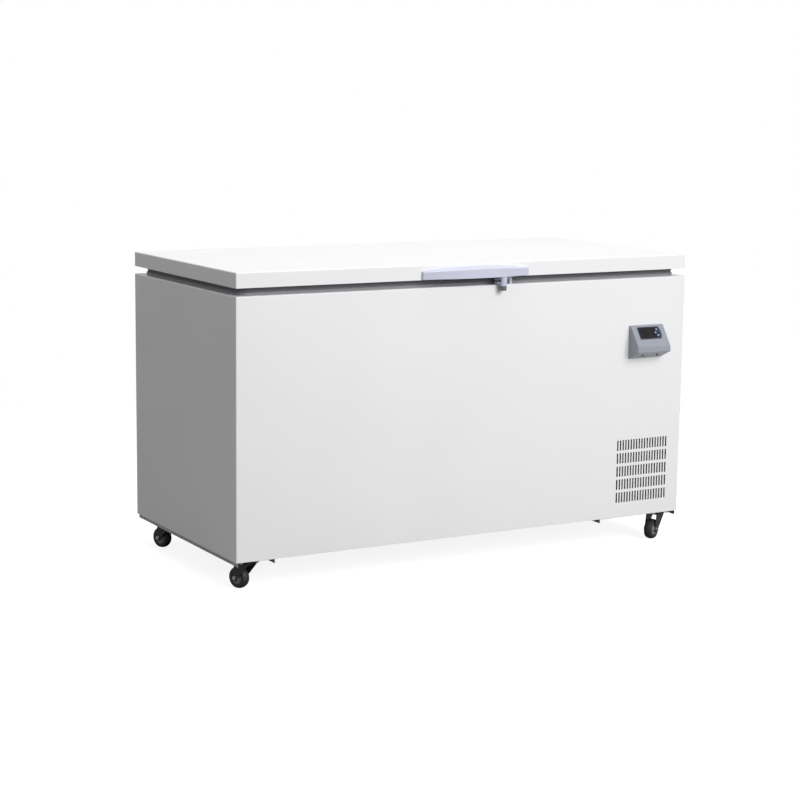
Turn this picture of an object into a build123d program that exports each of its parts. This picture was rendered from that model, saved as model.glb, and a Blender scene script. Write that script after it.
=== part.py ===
"""Laboratory chest freezer on four swivel casters, in millimetres.

X runs from the user's left to right, -Y is the front and +Z is up. The floor is at z = 0.
The origin is on the floor, under the middle of the whole freezer with its control box and hinges.
"""

from build123d import *
from math import cos, radians, sin, sqrt
import os

os.makedirs("parts", exist_ok=True)

# Cabinet and lid
cabinet_width = 1530.0
cabinet_depth = 720.0
body_height = 742.5
lid_gap = 22.7
lid_height = 43.3
sheet = 1.0
bend_radius = 3.0
edge_radius = 2.0
top_flange = 14.0
wall = 75.0
liner_sheet = 1.2
liner_corner = 40.0
liner_foot_radius = 18.0
rim_plate = 3.0
skirt_depth = 30.0
skirt_wall = 2.0

# Machine compartment under the step at the right end
bay_width = 289.0
bay_height = 260.0
bay_insulation = 60.0

# Base: two pressed channels that carry the casters
base_sheet = 1.5
base_flange = 13.0
base_end_inset = 6.0
left_channel_width = 115.0

tray_lap = 6.0

# Rear vent cover and cord gland
vent_width = 236.0
vent_height = 176.0
vent_bottom_margin = 62.0
vent_lap = 10.0
louvre_count = 7
louvre_pitch = 20.0
louvre_height = 9.0
louvre_margin = 24.0
louvre_proud = 6.0
gland_height = 34.0
gland_radius = 9.0
gland_bore = 4.0
gland_flange = 4.0
gland_nose = 12.0
gland_tail = 10.0

# Casters
wheel_radius = 31.5
wheel_width = 25.0
hub_radius = 17.0
hub_web = 16.0
caster_height = 88.5
caster_trail = 26.0
caster_plate = 64.0
caster_plate_thickness = 2.5
caster_inset_x = 50.0
caster_inset_front = 44.0
caster_inset_rear = 125.0
fork_sheet = 2.4
fork_gap = 33.0
fork_crown_radius = 26.0
fork_leg_radius = 9.0
race_radius = 20.0
race_height = 6.0
axle_radius = 4.0
axle_head = 2.5
kingpin_radius = 4.0
kingpin_head = 3.0
running_clearance = 0.06
face_clearance = 0.3
heading_front_left = 110.0
heading_front_right = 207.0
heading_rear_left = 110.0
heading_rear_right = 150.0

# Grille punched in the front panel
grille_columns = 19
grille_rows = 5
slot_width = 5.2
slot_height = 32.0
slot_pitch = 10.2
row_pitch = 41.0
grille_right_margin = 50.0
grille_bottom_margin = 46.0

# Lid: gasket, inner panel, handle, hinges
gasket_inset = 21.0
gasket_width = 22.0
lid_return = 18.0
lid_liner_sheet = 2.0
lid_plug_inset = 16.0
lid_plug_depth = 29.0
lid_plug_draft = 8.0
plug_edge_radius = 10.0
lid_liner_lap = 8.0
gasket_corner = 6.0
gasket_foot = 7.0
gasket_fold = 4.0
handle_length = 361.0
handle_reach = 36.0
handle_end_reach = 8.0
handle_height = 33.5
handle_foot = 2.3
handle_wall = 3.0
handle_top_drop = 6.5
handle_arch = 11.0
handle_back = 2.5
handle_round = 2.0
hinge_spacing = 960.0
hinge_width = 60.0
hinge_drop = 110.0
hinge_axis_out = 14.0
hinge_knuckle_radius = 9.0
hinge_axis_drop = 3.2
hinge_pin_radius = 4.0
hinge_sheet = 2.5
hinge_side_gap = 1.5

# Lock
lock_x = 86.0
lock_out = 16.0
lock_boss_radius = 13.0
lock_boss_drop = 27.5
lock_boss_draft = 3.0
lock_barrel_radius = 9.0
lock_barrel_length = 13.3
lock_nose_radius = 10.0
lock_nose_length = 14.0
lock_stem_radius = 4.0
keyway_width = 2.4
keyway_length = 11.0
keyway_depth = 5.0
cam_reach = 31.0
cam_width = 8.0
cam_thickness = 3.5
cam_clearance = 0.5
keeper_width = 54.0
keeper_depth = 15.0
keeper_height = 19.5
keeper_inset = 3.0
keeper_lip = 4.5
keeper_leg = 9.0
keeper_back = 2.0
keeper_lead = 10.0

# Control box
control_width = 122.0
control_right_margin = 85.0
control_top_below_body = 145.5
control_height = 102.0
control_ledge = 8.0
control_reach = 52.0
control_nose_height = 18.0
control_slope_height = 61.0
control_wall = 2.5
window_width = 77.0
window_height = 35.0
window_bow = 6.0
bezel_border = 3.0
bezel_thickness = 2.0
window_down = 28.0
window_thickness = 1.0
case_width = 70.0
case_height = 28.6
case_depth = 16.0
key_radius = 3.0
key_travel = 0.5
key_proud = 0.8
key_gap = 0.12
key_spare = 0.1
key_column = 27.0
key_row = 10.0
key_stagger = 7.0

# Refrigeration
tube_width = 9.0
tube_height = 6.0
coil_turns = 6
coil_pitch = 55.0
coil_top_margin = 60.0
condenser_width = 210.0
condenser_height = 204.0
condenser_depth = 44.0
condenser_setback = 12.0
fin_pitch = 6.0
fin_gap = 4.8
fin_depth = 18.0
bracket_sheet = 1.5
bracket_foot = 12.0
stub_length = 10.0
stub_radius = 4.5
condenser_tap = 80.0
fan_radius = 80.0
fan_tip_gap = 4.0
fan_blades = 5
fan_hub_radius = 18.0
fan_hub_length = 22.0
blade_chord = 46.0
blade_pitch = 35.0
blade_sheet = 1.6
duct_length = 30.0
fan_shaft_radius = 4.0
fan_shaft_length = 20.0
motor_radius = 32.0
motor_length = 50.0
motor_arm = 12.0
compressor_radius = 72.0
compressor_shell_height = 158.0
compressor_dome = 34.0
compressor_rear_margin = 205.0
compressor_base_x = 150.0
compressor_base_y = 190.0
compressor_seam = 3.0
mount_radius = 12.0
mount_height = 20.0
terminal_cover_width = 44.0
terminal_cover_height = 58.0
terminal_cover_depth = 24.0
stub_spread = 44.0
stub_rise = 120.0
drier_radius = 11.0
drier_length = 90.0
drier_rise = 85.0
drier_y = -60.0
pipe_radius = 3.5
pipe_bend = 10.0
capillary_radius = 1.5
pipe_wall_gap = 13.0

# Places that follow from the sizes
body_bottom = caster_height + base_sheet
body_top = body_bottom + body_height
lid_bottom = body_top + lid_gap
lid_top = lid_bottom + lid_height
mid_y = (control_reach - hinge_axis_out - hinge_knuckle_radius) / 2
front_y = mid_y - cabinet_depth / 2
back_y = mid_y + cabinet_depth / 2
left_x = -cabinet_width / 2
right_x = cabinet_width / 2
bay_left = right_x - bay_width
bay_top = body_bottom + bay_height
step_floor = bay_top + bay_insulation
step_left = bay_left - bay_insulation
cavity_floor = body_bottom + wall


def level(z):
    """Horizontal plane at height z, centred on the cabinet."""
    return Plane((0, mid_y, z))


def rounded_block(width, depth, bottom, top, side_radius, top_radius):
    """Upright block centred on the cabinet, with rounded corners and top edge."""
    with BuildPart() as block:
        with BuildSketch(level(bottom)):
            Rectangle(width, depth)
        extrude(amount=top - bottom)
        fillet(block.edges().filter_by(Axis.Z), radius=side_radius)
        fillet(block.faces().sort_by(Axis.Z)[-1].edges(), radius=top_radius)
    return block.part


def storage_form(grow, bottom_grow, top):
    """The stepped storage space: deep on the left, shallow over the machine compartment."""
    left_end = left_x + wall - grow
    with BuildPart() as form:
        for right_end, floor in (
            (step_left + grow, cavity_floor - bottom_grow),
            (right_x - wall + grow, step_floor - bottom_grow),
        ):
            with BuildPart(mode=Mode.PRIVATE) as space:
                with BuildSketch(level(floor)):
                    with Locations(((left_end + right_end) / 2, 0)):
                        RectangleRounded(
                            right_end - left_end,
                            cabinet_depth - 2 * (wall - grow),
                            liner_corner + grow,
                        )
                extrude(amount=top - floor)
                fillet(space.faces().sort_by(Axis.Z)[0].edges(), radius=liner_foot_radius + grow)
            add(space.part)
    return form.part


# The outer skin is drawn whole, then parted into the sheets that it is folded from.
outer_block = rounded_block(
    cabinet_width, cabinet_depth, body_bottom, body_top, bend_radius, edge_radius
)
inner_block = rounded_block(
    cabinet_width - 2 * sheet,
    cabinet_depth - 2 * sheet,
    body_bottom,
    body_top - sheet,
    bend_radius - sheet,
    edge_radius - sheet,
)
with BuildPart() as skin:
    add(outer_block)
    add(inner_block, mode=Mode.SUBTRACT)
    with BuildSketch(level(body_top)):
        Rectangle(cabinet_width - 2 * top_flange, cabinet_depth - 2 * top_flange)
    extrude(amount=-2 * sheet, mode=Mode.SUBTRACT)

# Front panel, with the rows of upright slots in front of the condenser
flange_span = cabinet_width - 2 * top_flange
grille_width = (grille_columns - 1) * slot_pitch + slot_width
grille_height = (grille_rows - 1) * row_pitch + slot_height
grille_x = right_x - grille_right_margin - grille_width / 2
grille_z = body_bottom + grille_bottom_margin + grille_height / 2
with BuildPart() as front_panel:
    add(skin.part)
    with BuildSketch(level(body_bottom)):
        with Locations((0, bend_radius / 2 - cabinet_depth / 2)):
            Rectangle(cabinet_width, bend_radius)
        with Locations((0, top_flange / 2 - cabinet_depth / 2)):
            Rectangle(flange_span, top_flange)
    extrude(amount=body_height, mode=Mode.INTERSECT)
    with BuildSketch(Plane.XZ.offset(-front_y)):
        with Locations((grille_x, grille_z)):
            with GridLocations(slot_pitch, row_pitch, grille_columns, grille_rows):
                Rectangle(slot_width, slot_height)
    extrude(amount=-2 * sheet, mode=Mode.SUBTRACT)
front_panel.part.label = "front_panel"
export_step(front_panel.part, "parts/front_panel.step")

# Side panels, between the front and rear bends
side_length = cabinet_depth - 2 * bend_radius
for side, name in ((-1, "left_side_panel"), (1, "right_side_panel")):
    with BuildPart() as side_panel:
        add(skin.part)
        with BuildSketch(level(body_bottom)):
            with Locations((side * (cabinet_width / 2 - top_flange / 2), 0)):
                Rectangle(top_flange, side_length)
        extrude(amount=body_height, mode=Mode.INTERSECT)
    side_panel.part.label = name
    export_step(side_panel.part, f"parts/{name}.step")

# Rear panel, open behind the machine compartment, with a hole for the cord gland
vent_x = bay_left + bay_width / 2
vent_z = body_bottom + vent_bottom_margin + vent_height / 2
gland_z = body_bottom + gland_height
with BuildPart() as rear_panel:
    add(skin.part)
    with BuildSketch(level(body_bottom)):
        with Locations((0, cabinet_depth / 2 - bend_radius / 2)):
            Rectangle(cabinet_width, bend_radius)
        with Locations((0, cabinet_depth / 2 - top_flange / 2)):
            Rectangle(flange_span, top_flange)
    extrude(amount=body_height, mode=Mode.INTERSECT)
    with BuildSketch(Plane.XZ.offset(-back_y)):
        with Locations((vent_x, vent_z)):
            RectangleRounded(vent_width - 2 * vent_lap, vent_height - 2 * vent_lap, bend_radius)
        with Locations((vent_x, gland_z)):
            Circle(gland_radius)
    extrude(amount=2 * sheet, mode=Mode.SUBTRACT)
rear_panel.part.label = "rear_panel"
export_step(rear_panel.part, "parts/rear_panel.step")

# Louvred cover screwed over the opening in the rear panel
with BuildPart() as rear_vent_cover:
    with BuildSketch(Plane.XZ.offset(-back_y)):
        with Locations((vent_x, vent_z)):
            RectangleRounded(vent_width, vent_height, bend_radius)
    extrude(amount=-sheet)
    with BuildSketch(Plane.XZ.offset(-back_y)):
        with Locations((vent_x, vent_z)):
            with GridLocations(0, louvre_pitch, 1, louvre_count):
                SlotOverall(vent_width - 2 * louvre_margin, louvre_height)
    extrude(amount=-sheet, mode=Mode.SUBTRACT)
    with BuildSketch(Plane.YZ.offset(vent_x)):
        with Locations((back_y + sheet, vent_z)):
            with GridLocations(0, louvre_pitch, 1, louvre_count):
                Polygon(
                    (0, louvre_height / 2 + sheet),
                    (louvre_proud, -louvre_height / 2),
                    (louvre_proud - sheet, -louvre_height / 2),
                    (0, louvre_height / 2),
                    align=None,
                )
    extrude(amount=vent_width / 2 - louvre_margin, both=True)
rear_vent_cover.part.label = "rear_vent_cover"
export_step(rear_vent_cover.part, "parts/rear_vent_cover.step")

# Cord gland: a nylon bush with a hexagonal flange; the cord itself is left out
with BuildPart() as cord_gland:
    with BuildSketch(Plane.XZ.offset(-back_y)):
        with Locations((vent_x, gland_z)):
            RegularPolygon(gland_radius + gland_flange, 6)
    extrude(amount=-gland_flange)
    with BuildSketch(Plane.XZ.offset(-back_y - gland_flange)):
        with Locations((vent_x, gland_z)):
            Circle(gland_radius)
    extrude(amount=-gland_nose, taper=12)
    with BuildSketch(Plane.XZ.offset(-back_y)):
        with Locations((vent_x, gland_z)):
            Circle(gland_radius)
    extrude(amount=gland_tail)
    with BuildSketch(Plane.XZ.offset(-back_y - gland_flange - gland_nose)):
        with Locations((vent_x, gland_z)):
            Circle(gland_bore)
    extrude(amount=gland_nose, mode=Mode.SUBTRACT)
cord_gland.part.label = "cord_gland"
export_step(cord_gland.part, "parts/cord_gland.step")

# Bottom panel under the storage space
bottom_left = left_x + sheet
with BuildPart() as bottom_panel:
    with BuildSketch(level(body_bottom)):
        with Locations(((bottom_left + bay_left) / 2, 0)):
            RectangleRounded(bay_left - bottom_left, cabinet_depth - 2 * sheet, bend_radius)
    extrude(amount=sheet)
bottom_panel.part.label = "bottom_panel"
export_step(bottom_panel.part, "parts/bottom_panel.step")

# Galvanised wall and ceiling of the machine compartment
with BuildPart() as compartment_lining:
    with BuildSketch(Plane.XZ.offset(-mid_y)):
        with BuildLine():
            Polyline(
                (bay_left, body_bottom + sheet),
                (bay_left, bay_top),
                (right_x - sheet, bay_top),
                (right_x - sheet, bay_top - sheet),
                (bay_left + sheet, bay_top - sheet),
                (bay_left + sheet, body_bottom + sheet),
                close=True,
            )
        make_face()
    extrude(amount=cabinet_depth / 2 - bend_radius, both=True)
compartment_lining.part.label = "compartment_lining"
export_step(compartment_lining.part, "parts/compartment_lining.step")

# Inner liner: one deep tub with a raised step over the machine compartment
liner_top = body_top - rim_plate
cavity = storage_form(0, 0, body_top)
liner_outside = storage_form(liner_sheet, liner_sheet, liner_top)
with BuildPart() as inner_liner:
    add(liner_outside)
    add(cavity, mode=Mode.SUBTRACT)
inner_liner.part.label = "inner_liner"
export_step(inner_liner.part, "parts/inner_liner.step")

# Evaporator: flattened tube wound round the liner, with a riser between turns
tube_length_x = cabinet_width - 2 * wall + 2 * liner_sheet
tube_length_y = cabinet_depth - 2 * wall + 2 * liner_sheet
coil_top = body_top - coil_top_margin
riser_y = back_y - wall + liner_sheet + tube_height / 2
with BuildPart() as evaporator_coil:
    for turn in range(coil_turns):
        with BuildSketch(level(coil_top - turn * coil_pitch - tube_width / 2)):
            RectangleRounded(
                tube_length_x + 2 * tube_height,
                tube_length_y + 2 * tube_height,
                liner_corner + liner_sheet + tube_height,
            )
            RectangleRounded(
                tube_length_x, tube_length_y, liner_corner + liner_sheet, mode=Mode.SUBTRACT
            )
        extrude(amount=tube_width)
    for turn in range(coil_turns - 1):
        with Locations((turn * 2 * tube_width, riser_y, coil_top - (turn + 0.5) * coil_pitch)):
            Box(tube_width, tube_height, coil_pitch)
evaporator_coil.part.label = "evaporator_coil"
export_step(evaporator_coil.part, "parts/evaporator_coil.step")

# Foam poured between the skin and the liner, around the evaporator
foam_block = rounded_block(
    cabinet_width - 2 * sheet,
    cabinet_depth - 2 * sheet,
    body_bottom + sheet,
    liner_top,
    bend_radius,
    edge_radius,
)
with BuildPart() as cabinet_insulation:
    add(foam_block)
    with BuildSketch(level(body_bottom)):
        with Locations((right_x - bay_width / 2, 0)):
            Rectangle(bay_width, cabinet_depth)
    extrude(amount=bay_height, mode=Mode.SUBTRACT)
    add(liner_outside, mode=Mode.SUBTRACT)
    add(evaporator_coil.part, mode=Mode.SUBTRACT)
cabinet_insulation.part.label = "cabinet_insulation"
export_step(cabinet_insulation.part, "parts/cabinet_insulation.step")

# Rim frame: plastic breaker round the mouth, with a skirt down into the liner
mouth_x = cabinet_width - 2 * wall - 2 * skirt_wall
mouth_y = cabinet_depth - 2 * wall - 2 * skirt_wall
with BuildPart() as rim_frame:
    with BuildSketch(level(liner_top)):
        RectangleRounded(flange_span, cabinet_depth - 2 * top_flange, bend_radius)
    extrude(amount=rim_plate)
    with BuildSketch(level(liner_top - skirt_depth)):
        RectangleRounded(cabinet_width - 2 * wall, cabinet_depth - 2 * wall, liner_corner)
    extrude(amount=skirt_depth)
    with BuildSketch(level(liner_top - skirt_depth)):
        RectangleRounded(mouth_x, mouth_y, liner_corner - skirt_wall)
    extrude(amount=skirt_depth + rim_plate, mode=Mode.SUBTRACT)
    mouth_edges = rim_frame.faces().sort_by(Axis.Z)[-1].inner_wires()[0].edges()
    fillet(mouth_edges, radius=skirt_wall)
rim_frame.part.label = "rim_frame"
export_step(rim_frame.part, "parts/rim_frame.step")

# Pressed base channel under the left end, and the tray under the machine compartment
web_bottom = body_bottom - base_sheet
tray_left = bay_left - tray_lap
tray_right = right_x - base_end_inset
channel_left = left_x + base_end_inset
base_length = cabinet_depth - 2 * bend_radius
for name, low_x, high_x, caster_x in (
    ("left_base_channel", channel_left, channel_left + left_channel_width, left_x + caster_inset_x),
    ("compressor_tray", tray_left, tray_right, right_x - caster_inset_x),
):
    with BuildPart() as channel:
        with BuildSketch(Plane.XZ.offset(-mid_y)):
            with BuildLine():
                Polyline(
                    (low_x, web_bottom - base_flange + base_sheet),
                    (low_x, body_bottom),
                    (high_x, body_bottom),
                    (high_x, web_bottom - base_flange + base_sheet),
                    (high_x - base_sheet, web_bottom - base_flange + base_sheet),
                    (high_x - base_sheet, web_bottom),
                    (low_x + base_sheet, web_bottom),
                    (low_x + base_sheet, web_bottom - base_flange + base_sheet),
                    close=True,
                )
            make_face()
        extrude(amount=base_length / 2, both=True)
        outer_bends = channel.faces().sort_by(Axis.Z)[-1].edges().filter_by(Axis.Y)
        fillet(outer_bends, radius=base_sheet)
        with BuildSketch(Plane.XY.offset(web_bottom)):
            for caster_y in (front_y + caster_inset_front, back_y - caster_inset_rear):
                with Locations((caster_x, caster_y)):
                    Circle(kingpin_radius + kingpin_head)
        extrude(amount=base_sheet, mode=Mode.SUBTRACT)
    channel.part.label = name
    export_step(channel.part, f"parts/{name}.step")

# Lid shell: folded steel tray, open below inside its return
lid_outer = rounded_block(
    cabinet_width, cabinet_depth, lid_bottom, lid_top, bend_radius, bend_radius
)
with BuildPart() as lid_shell:
    add(lid_outer)
    add(
        rounded_block(
            cabinet_width - 2 * sheet,
            cabinet_depth - 2 * sheet,
            lid_bottom + sheet,
            lid_top - sheet,
            bend_radius - sheet,
            bend_radius - sheet,
        ),
        mode=Mode.SUBTRACT,
    )
    with BuildSketch(level(lid_bottom)):
        Rectangle(cabinet_width - 2 * lid_return, cabinet_depth - 2 * lid_return)
    extrude(amount=sheet, mode=Mode.SUBTRACT)
lid_shell.part.label = "lid_shell"
export_step(lid_shell.part, "parts/lid_shell.step")

# Inner panel of the lid: a thermoformed sheet with a plug that reaches into the mouth
plug_x = mouth_x - 2 * lid_plug_inset
plug_y = mouth_y - 2 * lid_plug_inset
plug_corner = liner_corner - lid_plug_inset


def lid_plug(shrink, top):
    """Tapered block that stands down from the lid, shrunk on its sides and its end."""
    with BuildPart() as plug:
        with BuildSketch(level(top)):
            RectangleRounded(plug_x - 2 * shrink, plug_y - 2 * shrink, plug_corner - shrink)
        extrude(amount=lid_bottom - lid_plug_depth + shrink - top, taper=lid_plug_draft)
        fillet(plug.faces().sort_by(Axis.Z)[0].edges(), radius=plug_edge_radius - shrink)
    return plug.part


with BuildPart() as lid_liner:
    with BuildSketch(level(lid_bottom)):
        Rectangle(cabinet_width - 2 * lid_return, cabinet_depth - 2 * lid_return)
    extrude(amount=lid_liner_sheet)
    with BuildSketch(level(lid_bottom + sheet)):
        Rectangle(
            cabinet_width - 2 * (lid_return - lid_liner_lap),
            cabinet_depth - 2 * (lid_return - lid_liner_lap),
        )
    extrude(amount=lid_liner_sheet - sheet)
    add(lid_plug(0, lid_bottom))
    add(lid_plug(lid_liner_sheet, lid_bottom + lid_liner_sheet), mode=Mode.SUBTRACT)
lid_liner.part.label = "lid_liner"
export_step(lid_liner.part, "parts/lid_liner.step")

with BuildPart() as lid_insulation:
    add(
        rounded_block(
            cabinet_width - 2 * sheet,
            cabinet_depth - 2 * sheet,
            lid_bottom + lid_liner_sheet,
            lid_top - sheet,
            bend_radius,
            bend_radius,
        )
    )
    add(lid_plug(lid_liner_sheet, lid_bottom + lid_liner_sheet))
lid_insulation.part.label = "lid_insulation"
export_step(lid_insulation.part, "parts/lid_insulation.step")

# Gasket: magnetic seal with a bellows, pressed to the lid and resting on the rim
gasket_height = lid_gap - face_clearance
with BuildSketch(level(body_top + face_clearance)) as gasket_plan:
    RectangleRounded(
        cabinet_width - 2 * gasket_inset - gasket_width,
        cabinet_depth - 2 * gasket_inset - gasket_width,
        gasket_width / 2 + gasket_corner,
    )
gasket_path = gasket_plan.sketch.wires()[0]
gasket_start = Plane(
    origin=gasket_path @ 0, x_dir=Vector(0, 0, 1).cross(gasket_path % 0), z_dir=gasket_path % 0
)
with BuildPart() as lid_gasket:
    with BuildSketch(gasket_start):
        with BuildLine():
            outside = Polyline(
                (gasket_width / 2, 0),
                (gasket_width / 2, gasket_foot),
                (gasket_width / 2 - gasket_fold, gasket_height / 2),
                (gasket_width / 2 - gasket_fold / 3, gasket_height - gasket_foot / 2),
                (gasket_width / 2, gasket_height),
            )
            mirror(outside, about=Plane.YZ)
            Line((-gasket_width / 2, 0), (gasket_width / 2, 0))
            Line((-gasket_width / 2, gasket_height), (gasket_width / 2, gasket_height))
        make_face()
    sweep(path=gasket_path)
lid_gasket.part.label = "lid_gasket"
export_step(lid_gasket.part, "parts/lid_gasket.step")

# Handle: a bowed pull with a hollow underside, moulded in one with the lock boss
handle_bottom = lid_bottom + handle_foot
handle_top = handle_bottom + handle_height
lock_y = front_y - lock_out
boss_bottom = handle_bottom - lock_boss_drop
boss_roof = handle_top - handle_arch - handle_wall
cam_z = boss_bottom + lock_barrel_length
cam_top = cam_z + cam_thickness


def handle_outline(inset, back):
    """Plan of the handle, shrunk by inset at the bow and the ends and by back at the lid."""
    half = handle_length / 2 - inset
    with BuildSketch(Plane.XY) as outline:
        with BuildLine():
            ThreePointArc(
                (-half, inset - handle_end_reach),
                (0, inset - handle_reach),
                (half, inset - handle_end_reach),
            )
            Polyline(
                (-half, inset - handle_end_reach),
                (-half, -back),
                (half, -back),
                (half, inset - handle_end_reach),
            )
        make_face()
    return outline.sketch


with BuildPart() as handle:
    with BuildSketch(Plane((0, front_y, handle_bottom))):
        add(handle_outline(0, 0))
    extrude(amount=handle_height)
    with BuildSketch(Plane.XZ.offset(-front_y)):
        with BuildLine():
            ThreePointArc(
                (-handle_length / 2, handle_top - handle_arch),
                (0, handle_top),
                (handle_length / 2, handle_top - handle_arch),
            )
            Polyline(
                (-handle_length / 2, handle_top - handle_arch),
                (-handle_length / 2, handle_top + 2 * handle_arch),
                (handle_length / 2, handle_top + 2 * handle_arch),
                (handle_length / 2, handle_top - handle_arch),
            )
        make_face()
    extrude(amount=2 * handle_reach, dir=(0, -handle_reach, -handle_top_drop), mode=Mode.SUBTRACT)
    brow = handle.edges().filter_by(
        lambda e: e.center().Z > handle_bottom + 1 and e.center().Y < front_y - 1
    )
    fillet(brow, radius=handle_round)
    with BuildSketch(Plane((0, front_y, handle_bottom))):
        add(handle_outline(handle_wall, handle_back))
    extrude(amount=boss_roof - handle_bottom, mode=Mode.SUBTRACT)
    with BuildSketch(Plane((lock_x, lock_y, boss_roof))):
        Circle(lock_boss_radius)
    extrude(amount=boss_bottom - boss_roof, taper=lock_boss_draft)
    with BuildSketch(Plane((lock_x, lock_y, boss_bottom))):
        Circle(lock_barrel_radius + running_clearance)
    extrude(amount=cam_top + 2 * cam_thickness - boss_bottom, mode=Mode.SUBTRACT)
    with BuildSketch(Plane((lock_x, lock_y, cam_z - cam_clearance))):
        with Locations(
            (
                (cam_width / 2 + cam_clearance - lock_boss_radius) / 2,
                (lock_boss_radius - cam_width / 2 - cam_clearance) / 2,
            )
        ):
            window_side = lock_boss_radius + cam_width / 2 + cam_clearance
            Rectangle(window_side, window_side)
    extrude(amount=cam_thickness + 2 * cam_clearance, mode=Mode.SUBTRACT)
handle.part.label = "handle"
export_step(handle.part, "parts/handle.step")

# Lock barrel: a key from below turns it, and the cam is riveted on its stem
with BuildPart() as lock_barrel:
    with BuildSketch(Plane((lock_x, lock_y, boss_bottom - face_clearance))):
        Circle(lock_nose_radius)
    extrude(amount=face_clearance - lock_nose_length)
    fillet(lock_barrel.faces().sort_by(Axis.Z)[0].edges(), radius=edge_radius)
    with BuildSketch(Plane((lock_x, lock_y, boss_bottom - face_clearance))):
        Circle(lock_barrel_radius)
    extrude(amount=cam_z - boss_bottom + face_clearance)
    with BuildSketch(Plane((lock_x, lock_y, cam_z))):
        Circle(lock_stem_radius)
    extrude(amount=cam_thickness)
    with BuildSketch(Plane((lock_x, lock_y, cam_top))):
        Circle(lock_stem_radius + keyway_width / 2)
    extrude(amount=keyway_width / 2)
    with BuildSketch(Plane((lock_x, lock_y, boss_bottom - lock_nose_length))):
        SlotOverall(keyway_length, keyway_width)
    extrude(amount=keyway_depth, mode=Mode.SUBTRACT)
lock_barrel.part.label = "lock_barrel"
export_step(lock_barrel.part, "parts/lock_barrel.step")

# Lock cam, parked along the front; a quarter turn puts it under the keeper's lip
with BuildPart() as lock_cam:
    with BuildSketch(Plane((lock_x, lock_y, cam_z))):
        Circle(lock_barrel_radius - cam_clearance)
        with Locations((-cam_reach / 2 + cam_width / 4, 0)):
            Rectangle(cam_reach - cam_width / 2, cam_width)
        with Locations((cam_width / 2 - cam_reach, 0)):
            Circle(cam_width / 2)
        Circle(lock_stem_radius, mode=Mode.SUBTRACT)
    extrude(amount=cam_thickness)
lock_cam.part.label = "lock_cam"
export_step(lock_cam.part, "parts/lock_cam.step")

# Keeper on the cabinet's ledge: a pocket open to the front and to the left
keeper_x = lock_x - keeper_lead + keeper_width / 2
keeper_y = front_y + keeper_inset + keeper_depth / 2
with BuildPart() as lock_keeper:
    with BuildSketch(Plane((keeper_x, keeper_y, body_top))):
        RectangleRounded(keeper_width, keeper_depth, edge_radius)
    extrude(amount=keeper_height)
    with BuildSketch(Plane((keeper_x, keeper_y, body_top))):
        with Locations((-keeper_leg, -keeper_back)):
            Rectangle(keeper_width, keeper_depth)
    extrude(amount=keeper_height - keeper_lip, mode=Mode.SUBTRACT)
lock_keeper.part.label = "lock_keeper"
export_step(lock_keeper.part, "parts/lock_keeper.step")

# Hinges: a pressed channel on the rear panel and an eared plate on the lid, one pin through both
axis_y = back_y + hinge_axis_out
axis_z = lid_bottom - hinge_axis_drop
hinge_plate_top = body_top - edge_radius
lid_plate_bottom = lid_bottom + bend_radius
lid_plate_top = lid_top - bend_radius
cheek_gap = hinge_width - 2 * hinge_sheet
ear_width = cheek_gap - 2 * hinge_side_gap
for side, name in ((-1, "left_hinge"), (1, "right_hinge")):
    hinge_x = side * hinge_spacing / 2
    with BuildPart() as hinge_channel:
        with BuildSketch(Plane.YZ.offset(hinge_x)):
            with Locations((axis_y, axis_z)):
                Circle(hinge_knuckle_radius)
            with Locations((back_y + hinge_sheet / 2, hinge_plate_top - hinge_drop / 2)):
                Rectangle(hinge_sheet, hinge_drop)
            make_hull()
        extrude(amount=hinge_width / 2, both=True)
        with BuildSketch(Plane.YZ.offset(hinge_x)):
            with Locations((back_y + hinge_sheet + hinge_drop / 2, axis_z)):
                Rectangle(hinge_drop, 4 * hinge_drop)
            with Locations((back_y + hinge_drop / 2, hinge_plate_top + hinge_drop)):
                Rectangle(hinge_drop, 2 * hinge_drop)
        extrude(amount=cheek_gap / 2, both=True, mode=Mode.SUBTRACT)
        with BuildSketch(Plane.YZ.offset(hinge_x)):
            with Locations((axis_y, axis_z)):
                Circle(hinge_pin_radius)
        extrude(amount=hinge_width, both=True, mode=Mode.SUBTRACT)
    hinge_channel.part.label = f"{name}_channel"
    export_step(hinge_channel.part, f"parts/{name}_channel.step")

    with BuildPart() as hinge_plate:
        with BuildSketch(Plane.YZ.offset(hinge_x)):
            with Locations((axis_y, axis_z)):
                Circle(hinge_knuckle_radius - hinge_side_gap)
            with Locations(
                (back_y + hinge_sheet / 2, (lid_plate_bottom + lid_plate_top) / 2)
            ):
                Rectangle(hinge_sheet, lid_plate_top - lid_plate_bottom)
            make_hull()
        extrude(amount=ear_width / 2, both=True)
        with BuildSketch(Plane.YZ.offset(hinge_x)):
            with Locations((back_y + hinge_sheet + hinge_drop / 2, lid_bottom)):
                Rectangle(hinge_drop, 2 * hinge_drop)
        extrude(amount=ear_width / 2 - hinge_sheet, both=True, mode=Mode.SUBTRACT)
        with BuildSketch(Plane.YZ.offset(hinge_x)):
            with Locations((axis_y, axis_z)):
                Circle(hinge_pin_radius + running_clearance)
        extrude(amount=hinge_width, both=True, mode=Mode.SUBTRACT)
    hinge_plate.part.label = f"{name}_plate"
    export_step(hinge_plate.part, f"parts/{name}_plate.step")

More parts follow.
